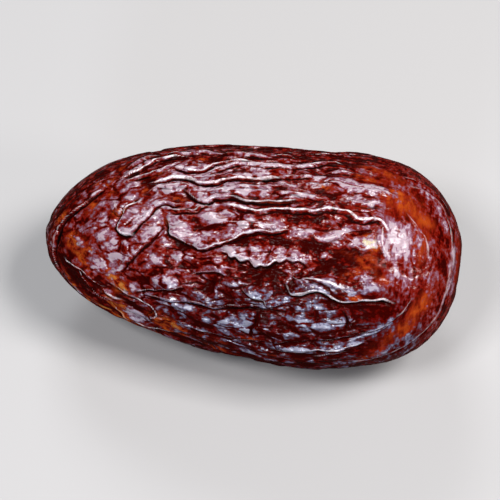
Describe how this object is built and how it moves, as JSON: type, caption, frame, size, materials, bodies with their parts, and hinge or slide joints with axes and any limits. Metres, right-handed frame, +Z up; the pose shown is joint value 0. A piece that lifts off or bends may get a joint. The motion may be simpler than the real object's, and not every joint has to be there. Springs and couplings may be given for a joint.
{
  "type": "safawi date",
  "caption": "Whole dried date fruit lying on its side, an elongated body with a blunt stem end, a narrower tip and deeply wrinkled glossy skin, for food and still-life scenes.",
  "frame": {"origin": "middle of the fruit's outline seen from above, at the height of the surface it lies on", "axes": "+X along the fruit towards the blunt end where the stem cap sat, +Y sideways across it, +Z up"},
  "size_m": [0.0402, 0.022, 0.0202],
  "materials": {
    "date_skin": "glossy dark red-brown fruit skin, wrinkled, with a thin mauve bloom on the raised plates and amber where it is thin at both ends"
  },
  "bodies": {
    "root": {"date": "date_skin"}
  },
  "joints": []
}
